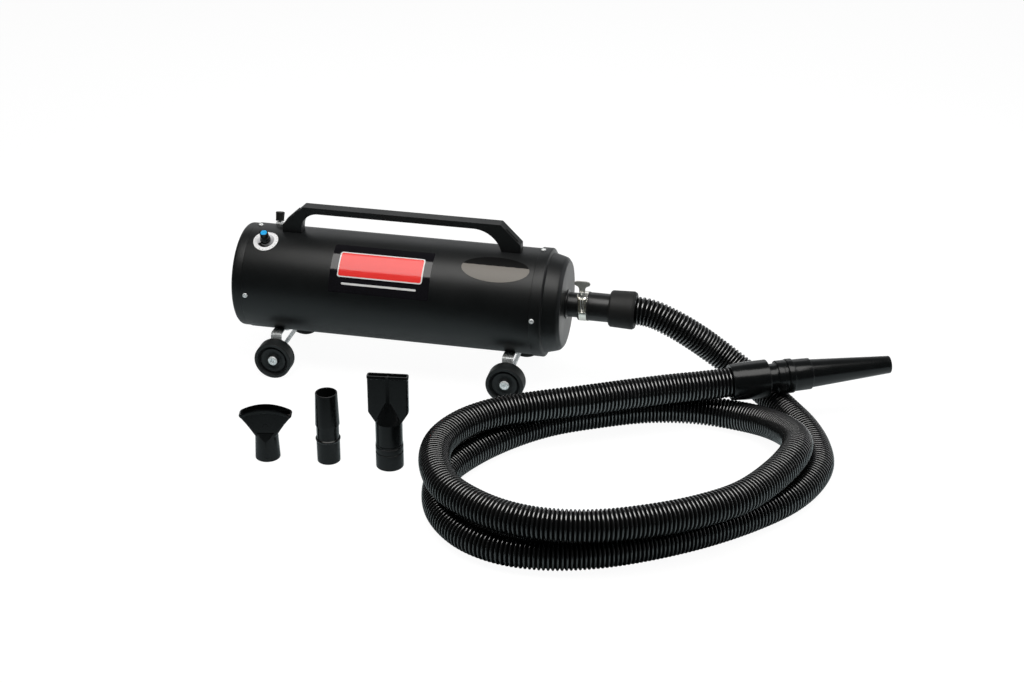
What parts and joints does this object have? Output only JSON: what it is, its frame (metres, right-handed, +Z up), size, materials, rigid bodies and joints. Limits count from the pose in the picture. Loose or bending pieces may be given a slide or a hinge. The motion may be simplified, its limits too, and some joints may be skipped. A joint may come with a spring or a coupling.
{
  "type": "pet dryer",
  "caption": "Canister force dryer on four wheels with a carrying handle, speed knob, switch, long corrugated hose and push-on air nozzles.",
  "frame": {"origin": "middle of the footprint on the floor, the hose and the pieces on its end left out", "axes": "+X from the intake end to the air outlet, +Z up, -Y the side with the name label and the nozzles"},
  "size_m": [1.3127, 0.807, 0.333],
  "materials": {
    "powder_coat": "satin black powder coat",
    "moulded_plastic": "satin black moulded plastic",
    "black_rubber": "matt black rubber",
    "wheel_rubber": "matt black hard rubber",
    "hose_plastic": "semi-gloss black plastic",
    "zinc_plate": "bright zinc plate",
    "stainless": "bright stainless strip",
    "dull_metal": "dull grey plated steel",
    "dial_silver": "satin silver dial",
    "blue_cap": "bright blue plastic",
    "label_black": "gloss black label film",
    "label_taupe": "gloss two-tone label film",
    "filter_foam": "open-cell foam",
    "cast_aluminium": "plain",
    "copper": "wound armature and turned fan"
  },
  "bodies": {
    "dryer": {"main_housing": "powder_coat", "front_cover": "powder_coat", "rear_cover": "powder_coat", "handle": "moulded_plastic", "outlet_tube": "moulded_plastic", "hose_adapter": "moulded_plastic", "end_cuff": "moulded_plastic", "switch_body": "moulded_plastic", "cord_gland": "black_rubber", "inlet_cuff": "black_rubber", "mount_ring_rear": "black_rubber", "mount_ring_front": "black_rubber", "hose": "hose_plastic", "front_cover_screw_1": "zinc_plate", "front_cover_screw_2": "zinc_plate", "front_cover_screw_3": "zinc_plate", "front_cover_screw_4": "zinc_plate", "rear_cover_screw_1": "zinc_plate", "rear_cover_screw_2": "zinc_plate", "rear_cover_screw_3": "zinc_plate", "rear_cover_screw_4": "zinc_plate", "handle_bolt_rear": "zinc_plate", "handle_bolt_front": "zinc_plate", "bracket_rear": "zinc_plate", "bracket_front": "zinc_plate", "bracket_bolt_rear": "zinc_plate", "bracket_bolt_front": "zinc_plate", "axle_rear": "zinc_plate", "axle_front": "zinc_plate", "axle_screw_rear_left": "zinc_plate", "axle_screw_rear_right": "zinc_plate", "axle_screw_front_left": "zinc_plate", "axle_screw_front_right": "zinc_plate", "switch_nut": "zinc_plate", "clamp_band": "stainless", "clamp_screw_housing": "stainless", "dial_plate": "dial_silver", "name_label": "label_black", "power_label": "label_taupe", "intake_filter": "filter_foam", "blower_case_rear": "cast_aluminium", "blower_case_front": "cast_aluminium", "speed_control": "cast_aluminium"},
    "wheel_rear_left": {"wheel_rear_left": "wheel_rubber"},
    "wheel_rear_right": {"wheel_rear_right": "wheel_rubber"},
    "wheel_front_left": {"wheel_front_left": "wheel_rubber"},
    "wheel_front_right": {"wheel_front_right": "wheel_rubber"},
    "speed_knob": {"speed_knob": "moulded_plastic", "knob_cap": "blue_cap", "control_shaft": "cast_aluminium"},
    "toggle": {"switch_boot": "black_rubber", "switch_lever": "zinc_plate"},
    "clamp_key": {"clamp_thumbscrew": "dull_metal"},
    "swivel": {"swivel_connector": "moulded_plastic"},
    "blower_nozzle": {"blower_nozzle": "moulded_plastic"},
    "flare_nozzle": {"flare_nozzle": "moulded_plastic"},
    "straight_nozzle": {"straight_nozzle": "moulded_plastic"},
    "flat_nozzle": {"flat_nozzle": "moulded_plastic"},
    "rotor_rear": {"rotor_rear": "copper"},
    "rotor_front": {"rotor_front": "copper"}
  },
  "joints": [
    {"name": "wheel_rear_left_spin", "type": "hinge", "parent": "dryer", "child": "wheel_rear_left", "pos_m": [-0.30625, 0.25955, 0.0378], "axis": [0, 1, 0], "continuous": true},
    {"name": "wheel_rear_right_spin", "type": "hinge", "parent": "dryer", "child": "wheel_rear_right", "pos_m": [-0.30625, 0.05955, 0.0378], "axis": [0, 1, 0], "continuous": true},
    {"name": "wheel_front_left_spin", "type": "hinge", "parent": "dryer", "child": "wheel_front_left", "pos_m": [0.16815, 0.25955, 0.0378], "axis": [0, 1, 0], "continuous": true},
    {"name": "wheel_front_right_spin", "type": "hinge", "parent": "dryer", "child": "wheel_front_right", "pos_m": [0.16815, 0.05955, 0.0378], "axis": [0, 1, 0], "continuous": true},
    {"name": "speed_knob_turn", "type": "hinge", "parent": "dryer", "child": "speed_knob", "pos_m": [-0.33135, 0.11684, 0.26822], "axis": [0, -0.4067, 0.9135], "range_deg": [-135, 135]},
    {"name": "power_switch_flip", "type": "hinge", "parent": "dryer", "child": "toggle", "pos_m": [-0.32635, 0.19113, 0.27558], "axis": [0, -0.9563, 0.2924], "range_deg": [-10, 10]},
    {"name": "clamp_key_turn", "type": "hinge", "parent": "dryer", "child": "clamp_key", "pos_m": [0.30465, 0.12455, 0.1723], "axis": [0, 0, 1], "continuous": true},
    {"name": "hose_swivel", "type": "hinge", "parent": "dryer", "child": "swivel", "pos_m": [0.61465, 0.06135, 0.091], "axis": [0.9201, 0.3905, 0.0314], "continuous": true},
    {"name": "blower_nozzle_pull_off", "type": "slide", "parent": "swivel", "child": "blower_nozzle", "axis": [0.9201, 0.3905, 0.0314], "range_m": [0, 0.06]},
    {"name": "flare_nozzle_lift", "type": "slide", "parent": "dryer", "child": "flare_nozzle", "axis": [0, 0, 1], "range_m": [0, 0.2]},
    {"name": "straight_nozzle_lift", "type": "slide", "parent": "dryer", "child": "straight_nozzle", "axis": [0, 0, 1], "range_m": [0, 0.2]},
    {"name": "flat_nozzle_lift", "type": "slide", "parent": "dryer", "child": "flat_nozzle", "axis": [0, 0, 1], "range_m": [0, 0.2]},
    {"name": "fan_rear_spin", "type": "hinge", "parent": "dryer", "child": "rotor_rear", "pos_m": [-0.21635, 0.15955, 0.1723], "axis": [1, 0, 0], "continuous": true},
    {"name": "fan_front_spin", "type": "hinge", "parent": "dryer", "child": "rotor_front", "pos_m": [-0.01635, 0.15955, 0.1723], "axis": [1, 0, 0], "continuous": true}
  ]
}
